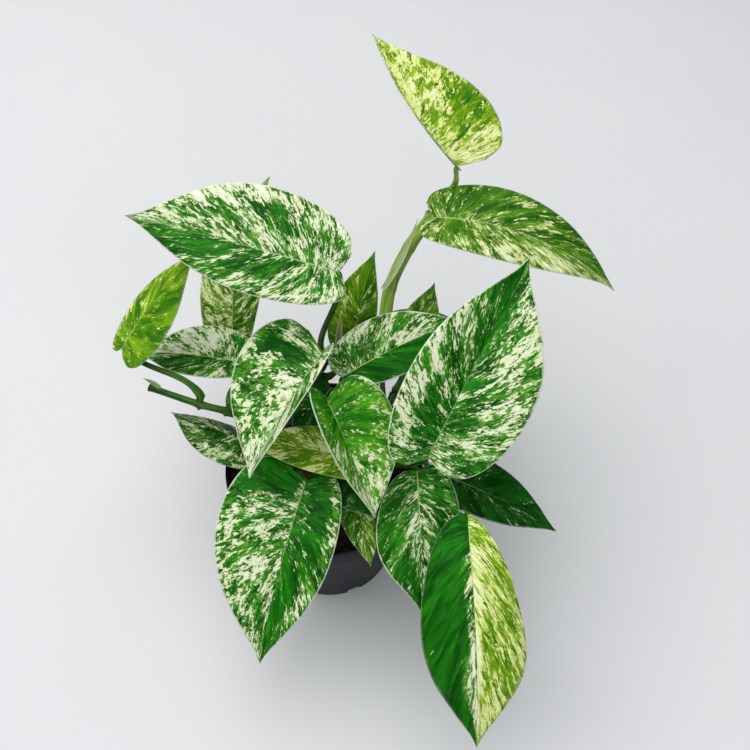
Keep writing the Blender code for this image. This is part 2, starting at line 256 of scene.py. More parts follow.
LOOKS = {
    "leaf_top_left": marbled(
        -0.1, 0.04, ("deep", "deep"), 0.6,
        (-1, -0.05, 0.5, 0.9, -0.25),
        (0.35, 0.75, 0.38, 0.5, -0.5),
        (0, 0.5, 0, 0.14, -0.1),
        (0.8, 1, 0.1, 0.9, 0.15),
        (-1, -0.6, 0.05, 0.6, 0.2),
    ),
    "leaf_top": marbled(
        -0.15, 0.05, ("fresh", "fresh"), 0.2,
        (0.3, 1, 0.3, 0.55, -0.35),
        (0.2, 1, 0.0, 0.28, 0.3),
        (0, 0.5, 0.55, 1, 0.1),
    ),
    "leaf_top_right": marbled(
        -0.3, -0.02, ("olive", "olive"), 0.5,
        (0.05, 1, 0.12, 0.42, -0.4),
        (-1, -0.2, 0.3, 0.6, -0.15),
        (0.6, 1, 0.3, 1, 0.2),
    ),
    "leaf_right": marbled(
        -0.3, 0.05, ("deep", "deep"), 0.3,
        (-1, -0.55, 0.1, 0.75, 0.36),
        (0, 0.4, 0.4, 1, -0.35),
        (0.3, 1, 0.14, 0.22, -0.5),
        (-1, 1, 0.8, 1, -0.4),
    ),
    "leaf_hanging": marbled(
        0.0, -1.0, ("fresh", "deep"), 0.9,
        (-0.2, 0.0, 0.3, 1, 0.35),
        (0.0, 0.22, 0.35, 1, 0.9),
        (0.1, 0.7, 0.72, 1, 1.0),
        (-1, 0.0, 0.78, 1, 0.2),
    ),
    "leaf_front_right": marbled(
        -0.4, -0.35, ("deep", "deep"), 0.8,
        (-0.4, 0.4, 0.3, 0.95, 0.3),
        (-1, -0.65, 0.1, 0.6, 0.3),
    ),
    "leaf_low_right": marbled(-0.7, -0.45, ("shade", "shade")),
    "leaf_centre": marbled(
        -0.42, -0.5, ("bright", "bright"), 0.5,
        (-1, 1, 0.72, 1, 0.45),
        (-1, -0.7, 0.2, 0.8, 0.35),
        (-0.9, -0.1, 0.15, 0.5, -0.1),
        (0.5, 1, 0.3, 1, 0.3),
    ),
    "leaf_crown": marbled(
        -0.05, 0.1, ("deep", "deep"), 0.5,
        (0.1, 0.85, 0.28, 0.44, -0.7),
        (0.2, 1, 0.0, 0.25, -0.1),
        (-1, 1, 0.8, 1, 0.2),
    ),
    "leaf_crown_right": marbled(0.0, -0.7, ("deep", "deep"), 1.0, (-0.7, -0.2, 0.2, 0.5, -0.2)),
    "leaf_front_left": marbled(
        -0.6, 0.0, ("deep", "deep"), 0.5,
        (0.1, 1, 0.0, 0.3, -0.8),
        (-1, -0.7, 0.1, 0.8, 0.55),
        (-0.6, 0.6, 0.75, 1, -0.15),
        (-0.25, 0.0, 0.2, 0.9, 0.2),
    ),
    "leaf_middle": marbled(-0.1, 0.0, ("fresh", "fresh"), 0.3, (-1, 1, 0.0, 0.2, -0.1)),
    "leaf_left": marbled(
        -0.25, 0.12, ("deep", "deep"), 0.9,
        (0.1, 0.8, 0.12, 0.32, -0.6),
        (-1, 1, 0.75, 1, 0.2),
        (-1, -0.5, 0.1, 0.6, 0.1),
    ),
    "leaf_far_left": marbled(-0.4, -0.5, ("fresh", "fresh"), 0.4, (-1, -0.75, 0, 1, 0.4)),
    "leaf_behind": marbled(-0.02, -0.3, ("olive", "olive"), 0.6),
    "leaf_upright": marbled(-0.4, -0.45, ("fresh", "olive")),
    "leaf_back_tip": marbled(-0.3, -0.3, ("olive", "olive")),
    "leaf_back_low": marbled(-0.3, -0.3, ("olive", "olive")),
    "leaf_low_left": marbled(-0.2, -0.05, ("shade", "shade"), 0.5, (-1, -0.5, 0, 1, 0.3)),
    "leaf_low_centre": marbled(-0.6, -0.55, ("shade", "shade")),
    "leaf_low_front": marbled(-0.3, -0.25, ("olive", "olive")),
    "leaf_inner": marbled(-0.6, -0.6, ("shade", "shade")),
}
YOUNG = ("leaf_top", "leaf_far_left", "leaf_middle", "leaf_upright")

# Greens: dark, light, the pale tone around the flecks, the flecks' cream, how white the margin is.
Greens = namedtuple("Greens", "dark light pale cream margin")
PALETTES = {
    "deep": Greens(
        (0.001, 0.052, 0.001),
        (0.014, 0.200, 0.004),
        (0.150, 0.380, 0.040),
        (0.640, 0.710, 0.440),
        0.7,
    ),
    "bright": Greens(
        (0.004, 0.110, 0.002),
        (0.060, 0.310, 0.006),
        (0.250, 0.480, 0.060),
        (0.640, 0.710, 0.420),
        0.6,
    ),
    "fresh": Greens(
        (0.020, 0.130, 0.002),
        (0.170, 0.370, 0.008),
        (0.400, 0.550, 0.030),
        (0.700, 0.760, 0.260),
        0.2,
    ),
    "olive": Greens(
        (0.006, 0.080, 0.002),
        (0.080, 0.230, 0.010),
        (0.290, 0.440, 0.060),
        (0.600, 0.670, 0.300),
        0.3,
    ),
    # The shade greens are painted shade: darker copies of the deep greens, for leaves that lie in the
    # shade of others.
    "shade": Greens(
        (0.001, 0.030, 0.001),
        (0.006, 0.100, 0.004),
        (0.110, 0.240, 0.050),
        (0.440, 0.540, 0.260),
        0.2,
    ),
}

# The marbling's layers of noise: a fleck's length and width, mm, its detail and its distortion.
PATCHES = (12, 6.0, 2.0, 0.6)
FLECKS = (4.2, 1.7, 5.0, 0.9)
SPECKS = (1.5, 0.7, 3.0, 0.8)
TONES = (15, 5.0, 4.0, 0.6)
FLAKES = (3.6, 1.3, 4.0, 0.7)
LAYER_SEED_GAP = 40.0
HALF_SEED_GAP = 9.0
LEAF_SEED_GAP = 5.3

# How much each layer adds to the pattern, and the level that the sum is measured from.
PATCH_WEIGHT = 2.2
FLECK_WEIGHT = 2.8
SPECK_WEIGHT = 2.0
PATTERN_LEVEL = 3.6

# Where along the pattern each tone sets in, and where it is full.
PALE_EDGE = (0.1, 0.42)
DARK_BRINK = (-0.2, -0.05)
CREAM_EDGE = (-0.02, 0.05)
WHITE_CORE = (0.3, 0.8)

# The colours of all else.
WHITE = (0.800, 0.840, 0.680, 1)
UNDERSIDE = (0.280, 0.440, 0.150, 1)
UNDERSIDE_DARK = (0.090, 0.230, 0.045, 1)
UNDERSIDE_RIB = (0.420, 0.560, 0.280, 1)
STEM_RING = (0.030, 0.070, 0.012, 1)
SHEATH_GREEN = (0.170, 0.300, 0.080, 1)
SHEATH_FIBRE = (0.420, 0.500, 0.240, 1)
SHEATH_DRY = (0.480, 0.460, 0.260, 1)
# The pot's faint blue cast and the navy of its scuffs are painted sheen of bluish light on the black
# plastic; the scuffs are wear.
POT_BLACK = (0.002, 0.003, 0.008, 1)
POT_SCUFF_AND_SHEEN = (0.010, 0.014, 0.028, 1)
PEAT_BLACK = (0.006, 0.004, 0.003, 1)
PEAT_FIBRE = (0.060, 0.036, 0.020, 1)
PEAT_PATCH = (0.020, 0.013, 0.008, 1)
PERLITE_PORE = (0.420, 0.400, 0.360, 1)
PERLITE_FACE = (0.800, 0.790, 0.750, 1)
BARK_DARK = (0.060, 0.035, 0.015, 1)
BARK_LIGHT = (0.200, 0.130, 0.060, 1)
FLOOR_DULL = (0.660, 0.670, 0.690, 1)
FLOOR_PALE = (0.715, 0.720, 0.735, 1)

# A stem's light and dark greens, and the fine lines along it.
Stem = namedtuple("Stem", "light dark lines")
LIGHT_STEM = Stem((0.250, 0.400, 0.050), (0.090, 0.210, 0.016), (0.440, 0.540, 0.160))
DEEP_STEM = Stem((0.045, 0.140, 0.012), (0.010, 0.050, 0.004), (0.110, 0.230, 0.040))

# Stage: the sky, and each light's place, width, power in watts and colour.
SKY_COLOUR = (0.93, 0.96, 1.0, 1)
SKY_STRENGTH = 0.36
KEY_LIGHT = ((-0.45, 0.25, 1.5), 1.7, 25, (1.0, 0.99, 0.97))
FILL_LIGHT = ((0.35, -1.2, 1.1), 1.4, 7, (0.96, 0.98, 1.0))
FLOOR_REACH = 20

# Dry sheaths left beside the leaf stalks: narrow strips, placed as leaves are.
SHEATHS = {
    "sheath_crown": Leaf((6, 47, 116), (9, 62, 138), 2.4, 2.4, 20, (40, 40), 0, 10, "vine_crown", 4),
    "sheath_left_tip": Leaf(
        (-83, 28, 116.5), (-91, 32, 119), 1.6, 1.6, 0, (50, 50), 0, 10, "vine_left", 4
    ),
    "sheath_tall": Leaf(
        (31, 84, 131), (48, 103, 160), 3.2, 3.2, -30, (-25, -25), 0, -12, "vine_tall", 5
    ),
}


def mm(point):
    return Vector(point) * MM


def smooth(low, high, value):
    share = min(max((value - low) / (high - low), 0), 1)
    return share * share * (3 - 2 * share)


def catmull_rom(points, u):
    """The point at u, from 0 to len(points) - 1, of a smooth curve through the points."""
    i = min(int(u), len(points) - 2)
    f = u - i
    p1, p2 = Vector(points[i]), Vector(points[i + 1])
    p0 = Vector(points[i - 1]) if i else p1 * 2 - p2
    p3 = Vector(points[i + 2]) if i + 2 < len(points) else p2 * 2 - p1
    squared = 2 * p0 - 5 * p1 + 4 * p2 - p3
    cubed = 3 * p1 - p0 - 3 * p2 + p3
    return 0.5 * (2 * p1 + (p2 - p0) * f + squared * f**2 + cubed * f**3)


# Shader nodes


def add(tree, kind, *inputs, out=0, **settings):
    """Adds a node and gives its output. An input is a socket, a value, or None for its own value."""
    node = tree.nodes.new("ShaderNode" + kind)
    for key, value in settings.items():
        setattr(node, key, value)
    for socket, value in zip(node.inputs, inputs):
        if isinstance(value, bpy.types.NodeSocket):
            tree.links.new(value, socket)
        elif value is not None:
            socket.default_value = value
    return node.outputs[out]


def maths(tree, operation, *inputs):
    return add(tree, "Math", *inputs, operation=operation)


def mix(tree, share, first, second):
    """Colour mixed from two."""
    empty = (None,) * 5
    return add(tree, "Mix", share, *empty, first, second, out=2, data_type="RGBA")


def step(tree, value, low, high):
    """0 under low, 1 over high, and smooth between them."""
    return add(tree, "MapRange", value, low, high, 0.0, 1.0, interpolation_type="SMOOTHSTEP")


def clouds(tree, place, detail=2.0, distortion=0.0, scale=1.0):
    return add(tree, "TexNoise", place, None, scale, detail, 0.55, None, None, None, distortion)


def bump(tree, height, strength, distance):
    return add(tree, "Bump", strength, distance, None, height)


def new_material(name):
    made = bpy.data.materials.new(name)
    made.use_nodes = True
    tree = made.node_tree
    return made, tree, tree.nodes["Principled BSDF"]


def link(tree, shader, **sockets):
    """Links outputs to the shader's sockets, named with _ for a space."""
    for name, output in sockets.items():
        tree.links.new(output, shader.inputs[name.replace("_", " ")])


# Materials


def opaque(colour):
    return (*colour, 1)


def streaks(tree, u, v, seed, length, width, detail, distortion=0.3):
    """Noise drawn out along the side veins: length and width of a fleck, mm."""
    across = maths(tree, "MULTIPLY", u, 1 / length)
    along = maths(tree, "MULTIPLY", v, 1 / width)
    place = add(tree, "CombineXYZ", across, along, seed)
    return clouds(tree, place, detail, distortion)


def leaf_material(name, look, number):
    """Marbled upper side. It reads the blade's own maps: veins, in mm, and blade, as shares."""
    made, tree, shader = new_material(name)
    veins = add(tree, "SeparateXYZ", add(tree, "UVMap", uv_map="veins"))
    u, v = veins, veins.node.outputs[1]
    blade = add(tree, "SeparateXYZ", add(tree, "UVMap", uv_map="blade"))
    edge, t = maths(tree, "ABSOLUTE", blade), blade.node.outputs[1]
    side, leaf_seed = maths(tree, "SIGN", u), number * LEAF_SEED_GAP
    half_seed = maths(tree, "MULTIPLY_ADD", side, HALF_SEED_GAP, leaf_seed)
    left, right = (PALETTES[greens] for greens in look.greens)
    half = step(tree, u, -0.4, 0.4)
    dark = mix(tree, half, opaque(left.dark), opaque(right.dark))
    light = mix(tree, half, opaque(left.light), opaque(right.light))
    pale = mix(tree, half, opaque(left.pale), opaque(right.pale))
    creamy = mix(tree, half, opaque(left.cream), opaque(right.cream))

    layers = []
    for order, grain in enumerate((PATCHES, FLECKS, SPECKS, TONES, FLAKES)):
        seed = maths(tree, "ADD", half_seed, order * LAYER_SEED_GAP)
        layers.append(streaks(tree, u, v, seed, *grain))
    patches, flecks, specks, tones, flakes = layers

    cream = add(tree, "Attribute", attribute_name="cream", out=2)
    pattern = maths(tree, "MULTIPLY_ADD", patches, PATCH_WEIGHT, cream)
    pattern = maths(tree, "MULTIPLY_ADD", flecks, FLECK_WEIGHT, pattern)
    pattern = maths(tree, "MULTIPLY_ADD", specks, SPECK_WEIGHT, pattern)
    pattern = maths(tree, "SUBTRACT", pattern, PATTERN_LEVEL)

    colour = mix(tree, step(tree, tones, 0.32, 0.72), dark, light)
    flaked = step(tree, maths(tree, "MULTIPLY_ADD", cream, 0.2, flakes), 0.48, 0.6)
    colour = mix(tree, maths(tree, "MULTIPLY", flaked, 0.45), colour, pale)
    tinted = maths(tree, "MULTIPLY_ADD", tones, 0.8, pattern)
    colour = mix(tree, step(tree, tinted, *PALE_EDGE), colour, pale)
    brink = maths(tree, "MULTIPLY", step(tree, pattern, *DARK_BRINK), 0.5)
    colour = mix(tree, brink, colour, dark)
    colour = mix(tree, step(tree, pattern, *CREAM_EDGE), colour, creamy)
    colour = mix(tree, step(tree, pattern, *WHITE_CORE), colour, WHITE)

    reach = maths(tree, "MULTIPLY_ADD", t, -0.55, 0.75)
    rib = maths(tree, "SUBTRACT", reach, maths(tree, "ABSOLUTE", u))
    rib = maths(tree, "MULTIPLY", step(tree, rib, 0.0, 0.35), look.rib)
    colour = mix(tree, rib, colour, mix(tree, tones, pale, creamy))
    margin = step(tree, maths(tree, "MULTIPLY_ADD", flecks, 0.06, edge), 1.0, 1.02)
    colour = mix(tree, maths(tree, "MULTIPLY", margin, left.margin), colour, WHITE)

    relief = maths(tree, "ADD", flecks, maths(tree, "MULTIPLY", specks, 0.6))
    gloss = maths(tree, "MULTIPLY_ADD", tones, 0.2, 0.36)
    link(tree, shader, Base_Color=colour, Roughness=gloss, Normal=bump(tree, relief, 0.25, 0.0002))
    shader.inputs["Specular IOR Level"].default_value = 0.06
    return made


def underside_material():
    """Lower side: duller and paler, with the marbling showing faintly through."""
    made, tree, shader = new_material("underside")
    veins = add(tree, "SeparateXYZ", add(tree, "UVMap", uv_map="veins"))
    u, v = veins, veins.node.outputs[1]
    flecks = streaks(tree, u, v, 3.0, 8, 1.8, 4.0)
    cream = add(tree, "Attribute", attribute_name="cream", out=2)
    pattern = maths(tree, "MULTIPLY_ADD", flecks, 2.2, cream)
    colour = mix(tree, step(tree, pattern, 0.7, 1.5), UNDERSIDE_DARK, UNDERSIDE)
    rib = maths(tree, "SUBTRACT", 0.9, maths(tree, "ABSOLUTE", u))
    colour = mix(tree, step(tree, rib, 0.0, 0.5), colour, UNDERSIDE_RIB)
    link(tree, shader, Base_Color=colour, Normal=bump(tree, flecks, 0.2, 0.0002))
    shader.inputs["Roughness"].default_value = 0.55
    shader.inputs["Specular IOR Level"].default_value = 0.2
    return made


def stem_material(name, greens):
    """Fine lines along the stem, and darker rings at its nodes. Its map is in mm, round and along."""
    made, tree, shader = new_material(name)
    skin = add(tree, "SeparateXYZ", add(tree, "UVMap", uv_map="skin"))
    around, along = skin, skin.node.outputs[1]
    grain = streaks(tree, along, around, 5.0, 14, 0.9, 4.0)
    broad = streaks(tree, along, around, 9.0, 30, 3.5, 2.0)
    colour = mix(tree, step(tree, broad, 0.35, 0.65), opaque(greens.dark), opaque(greens.light))
    colour = mix(tree, step(tree, grain, 0.52, 0.72), colour, opaque(greens.lines))
    ring = add(tree, "Attribute", attribute_name="ring", out=2)
    colour = mix(tree, maths(tree, "MULTIPLY", ring, 0.75), colour, STEM_RING)
    link(tree, shader, Base_Color=colour, Normal=bump(tree, grain, 0.35, 0.0003))
    link(tree, shader, Roughness=maths(tree, "MULTIPLY_ADD", grain, 0.25, 0.35))
    shader.inputs["Specular IOR Level"].default_value = 0.15
    return made


def sheath_material():
    """Papery sheath, drying from pale green to straw along its margins."""
    made, tree, shader = new_material("sheath")
    veins = add(tree, "SeparateXYZ", add(tree, "UVMap", uv_map="veins"))
    u, v = veins, veins.node.outputs[1]
    fibres = streaks(tree, v, u, 2.0, 12, 0.5, 4.0)
    colour = mix(tree, step(tree, fibres, 0.4, 0.62), SHEATH_GREEN, SHEATH_FIBRE)
    blade = add(tree, "SeparateXYZ", add(tree, "UVMap", uv_map="blade"))
    dry = step(tree, maths(tree, "ABSOLUTE", blade), 0.7, 1.0)
    colour = mix(tree, dry, colour, SHEATH_DRY)
    link(tree, shader, Base_Color=colour, Normal=bump(tree, fibres, 0.5, 0.0002))
    shader.inputs["Roughness"].default_value = 0.7
    return made


def pot_material():
    """Black moulded plastic, scuffed and faintly grained; its blue cast and navy scuffs are painted
    sheen.
    """
    made, tree, shader = new_material("pot_plastic")
    place = add(tree, "TexCoord", out=3)
    grain = clouds(tree, place, 3.0, 0.0, 1400.0)
    scuffs_and_sheen = clouds(tree, add(tree, "Mapping", place, None, None, (60.0, 60.0, 700.0)), 4.0, 0.4)
    # The scuffs are wear, coloured navy as painted sheen.
    colour = mix(tree, step(tree, scuffs_and_sheen, 0.5, 0.75), POT_BLACK, POT_SCUFF_AND_SHEEN)
    relief = maths(tree, "MULTIPLY_ADD", scuffs_and_sheen, 0.4, grain)
    link(tree, shader, Base_Color=colour, Normal=bump(tree, relief, 0.15, 0.0002))
    link(tree, shader, Roughness=maths(tree, "MULTIPLY_ADD", scuffs_and_sheen, 0.35, 0.3))
    shader.inputs["Specular IOR Level"].default_value = 0.16
    return made


def soil_material():
    """Damp peat: near-black crumbs with brown fibre."""
    made, tree, shader = new_material("peat")
    place = add(tree, "TexCoord", out=3)
    grains = clouds(tree, place, 6.0, 0.5, 420.0)
    patches = clouds(tree, place, 2.0, 0.0, 70.0)
    colour = mix(tree, step(tree, grains, 0.4, 0.66), PEAT_BLACK, PEAT_FIBRE)
    colour = mix(tree, maths(tree, "MULTIPLY", patches, 0.5), colour, PEAT_PATCH)
    link(tree, shader, Base_Color=colour, Normal=bump(tree, grains, 0.9, 0.0012))
    shader.inputs["Roughness"].default_value = 0.95
    return made


def perlite_material():
    """White volcanic grains, pitted with pores."""
    made, tree, shader = new_material("perlite_grain")
    place = add(tree, "TexCoord", out=3)
    pores = clouds(tree, place, 4.0, 0.0, 1500.0)
    colour = mix(tree, step(tree, pores, 0.4, 0.6), PERLITE_PORE, PERLITE_FACE)
    link(tree, shader, Base_Color=colour, Normal=bump(tree, pores, 0.6, 0.0004))
    shader.inputs["Roughness"].default_value = 0.85
    return made


def bark_material():
    """Brown corky skin of the root buds."""
    made, tree, shader = new_material("root_bud")
    bark = clouds(tree, add(tree, "TexCoord", out=3), 4.0, 0.3, 900.0)
    colour = mix(tree, bark, BARK_DARK, BARK_LIGHT)
    link(tree, shader, Base_Color=colour, Normal=bump(tree, bark, 0.6, 0.0004))
    shader.inputs["Roughness"].default_value = 0.8
    return made


def floor_material():
    """Pale, faintly mottled matt paint."""
    made, tree, shader = new_material("floor_paint")
    place = add(tree, "TexCoord", out=3)
    mottle = clouds(tree, place, 4.0, 0.0, 6.0)
    grain = clouds(tree, place, 3.0, 0.0, 500.0)
    colour = mix(tree, mottle, FLOOR_DULL, FLOOR_PALE)
    link(tree, shader, Base_Color=colour, Normal=bump(tree, grain, 0.1, 0.0002))
    shader.inputs["Roughness"].default_value = 0.8
    return made


# Pieces


def piece(name, mesh, materials, slot, *nodes):
    """Adds a piece that rides with the plant and stands for these CAD nodes."""
    obj = bpy.data.objects.new(name, mesh)
    bpy.context.scene.collection.objects.link(obj)
    for made in materials:
        mesh.materials.append(made)
    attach(obj, "root")
    if nodes:
        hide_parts(*nodes)
    return obj


def blade_frame(leaf):
    """Where a blade is: its origin at the stalk, X to its right, Y to its tip and Z up."""
    along = (mm(leaf.tip) - mm(leaf.base)).normalized()
    up = (Vector((0, 0, 1)) - along * along.z).normalized()
    right = along.cross(up)
    roll = Matrix.Rotation(math.radians(leaf.roll), 3, "Y")
    axes = Matrix((right, along, up)).transposed() @ roll
    return Matrix.Translation(mm(leaf.base)) @ axes.to_4x4()


def arc(share, angle):
    """(run, rise, slope) at a share of an arc of unit chord that turns through an angle."""
    if angle == 0:
        return share, 0, 0
    slope = angle * (0.5 - share)
    size = 0.5 / math.sin(angle / 2)
    run = (math.sin(angle / 2) - math.sin(slope)) * size
    rise = (math.cos(slope) - math.cos(angle / 2)) * size
    return run, rise, slope


def blade_point(leaf, s, t):
    """A point of the blade, in its own frame.

    s runs from the left margin, -1, to the right, 1. t runs from the lobes, 0, to the tip, 1, and a
    line of one t is a side vein, which leaves the midrib well below the place where it ends.
    """
    halves = ((leaf.left, leaf.right), leaf.fold, leaf.sweep, leaf.neck)
    half, fold, sweep, neck = [pair[1] if s > 0 else pair[0] for pair in halves]
    wide, far = catmull_rom(OUTLINE, t * (len(OUTLINE) - 1))
    lobe = 1 - neck * (1 - t) ** 3
    wide *= lobe
    if far < 0:
        far *= lobe
    far += sweep * wide * (1 - far)
    v = abs(s)
    near = VEIN_LEAD * t + (1 - VEIN_LEAD) * t**3
    share = (1 - v) * near + v * far - VEIN_BOW * v * (1 - v) * t * (1 - t)
    flat = half * MM * wide * v
    mean = math.radians(fold - leaf.cup * wide * v / 2)
    across, lift = math.copysign(flat, s) * math.cos(mean), flat * math.sin(mean)

    chord = (mm(leaf.tip) - mm(leaf.base)).length
    run, rise, pitch = arc(share, math.radians(leaf.bend))
    _, drift, yaw = arc(share, math.radians(leaf.side))
    turn = Matrix.Rotation(-yaw, 3, "Z") @ Matrix.Rotation(pitch, 3, "X")
    turn = turn @ Matrix.Rotation(math.radians(leaf.twist) * (share - 0.5), 3, "Y")
    return Vector((drift, run, rise)) * chord + turn @ Vector((across, 0, lift))


def relief(leaf, s, t, number):
    """Height of the fine relief over the smooth blade: midrib groove, side veins, wavy margin."""
    half = (leaf.right if s > 0 else leaf.left) * MM
    v = abs(s)
    size = min(half / 0.02, 1)
    groove = -MIDRIB_DEPTH * size * math.exp(-((v * half / MIDRIB_WIDTH) ** 2)) * (1 - t)
    chord = (mm(leaf.tip) - mm(leaf.base)).length
    ribs = VEIN_DEPTH * size * math.cos(math.tau * t * chord / VEIN_SPACING) * 4 * v * (1 - v)
    swell = noise.noise((t * 5, s * 1.5, number * 3.7))
    return groove + ribs * (1 - t) + EDGE_WAVE * size * swell * v * v * (1 - t * 0.5)


def window(value, low, high):
    """1 inside a span, falling softly to 0 outside it."""
    soft = WINDOW_SOFTNESS
    return smooth(low - soft, low + soft, value) * (1 - smooth(high - soft, high + soft, value))


def cream_share(look, s, t):
    total = look.left + (look.right - look.left) * smooth(-0.03, 0.03, s)
    for s_low, s_high, t_low, t_high, amount in look.windows:
        total += amount * window(s, s_low, s_high) * window(t, t_low, t_high)
    return total


def blade_mesh(name, leaf, look, number):
    """The blade's middle sheet, with its maps and how cream it is at each point."""
    mesh = bpy.data.meshes.new(name)
    shape = bmesh.new()
    veins = shape.loops.layers.uv.new("veins")
    blade = shape.loops.layers.uv.new("blade")
    cream = shape.verts.layers.float.new("cream")
    cells = {"x_segments": BLADE_CELLS_ACROSS, "y_segments": BLADE_CELLS_ALONG}
    bmesh.ops.create_grid(shape, size=1, **cells)
    chord = (mm(leaf.tip) - mm(leaf.base)).length / MM
    places = []
    for vert in shape.verts:
        # Cells are narrower towards the midrib, where the groove is.
        s = math.copysign(abs(vert.co.x) ** 1.4, vert.co.x)
        t = (vert.co.y + 1) / 2
        places.append((s, t))
        vert[cream] = cream_share(look, s, t)
    shape.verts.index_update()
    for face in shape.faces:
        for loop in face.loops:
            s, t = places[loop.vert.index]
            loop[veins].uv = (s * (leaf.right if s > 0 else leaf.left), t * chord)
            loop[blade].uv = (s, t)
    for vert, (s, t) in zip(shape.verts, places):
        vert.co = blade_point(leaf, s, t)
    shape.normal_update()
    lifts = [vert.normal * relief(leaf, *at, number) for vert, at in zip(shape.verts, places)]
    for vert, lift in zip(shape.verts, lifts):
        vert.co += lift
    bmesh.ops.remove_doubles(shape, verts=shape.verts, dist=1e-6)
    shape.to_mesh(mesh)
    shape.free()
    mesh.shade_smooth()
    return mesh


def thicken(obj, thickness, lower):
    """Gives a sheet its thickness. lower is the number of the lower side's material."""
    skin = obj.modifiers.new("thickness", "SOLIDIFY")
    skin.thickness = thickness
    skin.offset = 0
    skin.material_offset = lower


def make_blades():
    lower = underside_material()
    for number, (name, leaf) in enumerate(LEAVES.items()):
        look = LOOKS[name]
        upper = leaf_material(name, look, number)
        mesh = blade_mesh(name, leaf, look, number)
        slot = "leaf_young" if name in YOUNG else "leaf"
        obj = piece(name.replace("leaf", "blade", 1), mesh, [upper, lower], slot, name)
        obj.matrix_world = blade_frame(leaf)
        thicken(obj, BLADE_THICKNESS, 1)


def make_sheaths():
    dry = sheath_material()
    for number, (name, leaf) in enumerate(SHEATHS.items()):
        mesh = blade_mesh(name, leaf, Look(0, 0), number)
        obj = piece(name, mesh, [dry], "petiole")
        obj.matrix_world = blade_frame(leaf)
        thicken(obj, SHEATH_THICKNESS, 0)


def swept(name, points, radii, rings, up, groove):
    """A stem as a skin of hoops. groove sinks the side that faces up, as a share of the radius."""
    mesh = bpy.data.meshes.new(name)
    shape = bmesh.new()
    skin = shape.loops.layers.uv.new("skin")
    dark = shape.verts.layers.float.new("ring")
    hoops, travelled = [], [0.0]
    for here, there in zip(points, points[1:]):
        travelled.append(travelled[-1] + (there - here).length)
    for i, (point, radius) in enumerate(zip(points, radii)):
        ahead = points[min(i + 1, len(points) - 1)] - points[max(i - 1, 0)]
        side = ahead.cross(up).normalized()
        top = side.cross(ahead).normalized()
        hoop = []
        for k in range(STALK_SIDES):
            angle = math.tau * k / STALK_SIDES
            dip = 1 - groove * math.exp(-(((angle - math.pi) / GROOVE_ANGLE) ** 2))
            grain = 1 + SKIN_UNEVENNESS * noise.noise((k * 1.7, travelled[i] * 90, len(points)))
            out = (-top * math.cos(angle) + side * math.sin(angle)) * radius * dip * grain
            vert = shape.verts.new(point + out)
            vert[dark] = rings[i]
            hoop.append(vert)
        hoops.append(hoop)
    for i, (lower, upper) in enumerate(zip(hoops, hoops[1:])):
        for k in range(STALK_SIDES):
            n = (k + 1) % STALK_SIDES
            face = shape.faces.new((lower[k], lower[n], upper[n], upper[k]))
            width = math.tau * radii[i] / STALK_SIDES / MM
            spots = ((k, i), (k + 1, i), (k + 1, i + 1), (k, i + 1))
            for loop, (across, row) in zip(face.loops, spots):
                loop[skin].uv = (across * width, travelled[row] / MM)
    for hoop in (hoops[0], hoops[-1]):
        shape.faces.new(hoop)
    bmesh.ops.recalc_face_normals(shape, faces=shape.faces)
    shape.to_mesh(mesh)
    shape.free()
    mesh.shade_smooth()
    return mesh


def soil_top(radius):
    """The soil's height at a distance from the pot's axis: a low crown."""
    edge = POT_RIM_RADIUS - POT_WALL - CLEARANCE
    return POT_HEIGHT - SOIL_BELOW_RIM + SOIL_CROWN * (1 - (radius / edge) ** 2)


def vine_line(name, vine):
    """(points, radii, rings) along a vine. A node that bears a leaf is swollen most, and ringed."""
    bearing = {leaf.at for leaf in LEAVES.values() if leaf.vine == name}
    start = mm(vine.path[0])
    root = soil_top(math.hypot(start.x, start.y)) - PLANTING_DEPTH
    path = [mm(p) for p in vine.path]
    points, radii, rings = [Vector((start.x, start.y, root))], [vine.radius * MM], [0.0]
    last = len(path) - 1
    for stretch in range(last):
        length = (path[stretch + 1] - path[stretch]).length
        steps = max(int(length / STALK_STEP), 3)
        for k in range(steps):
            u = stretch + k / steps
            away = abs(u - round(u)) * length
            mark = 1 if round(u) in bearing else PLAIN_NODE
            swell = mark * math.exp(-((away / NODE_LENGTH) ** 2))
            points.append(catmull_rom(path, u))
            taper = 1 - VINE_TAPER * u / last
            radii.append(vine.radius * MM * taper * (1 + (NODE_SWELLING - 1) * swell))
            rings.append(mark * math.exp(-((away / (NODE_LENGTH * 0.4)) ** 2)))
    points.append(path[-1])
    radii.append(vine.radius * MM * (1 - VINE_TAPER) * NODE_SWELLING)
    rings.append(1.0)
    return points, radii, rings


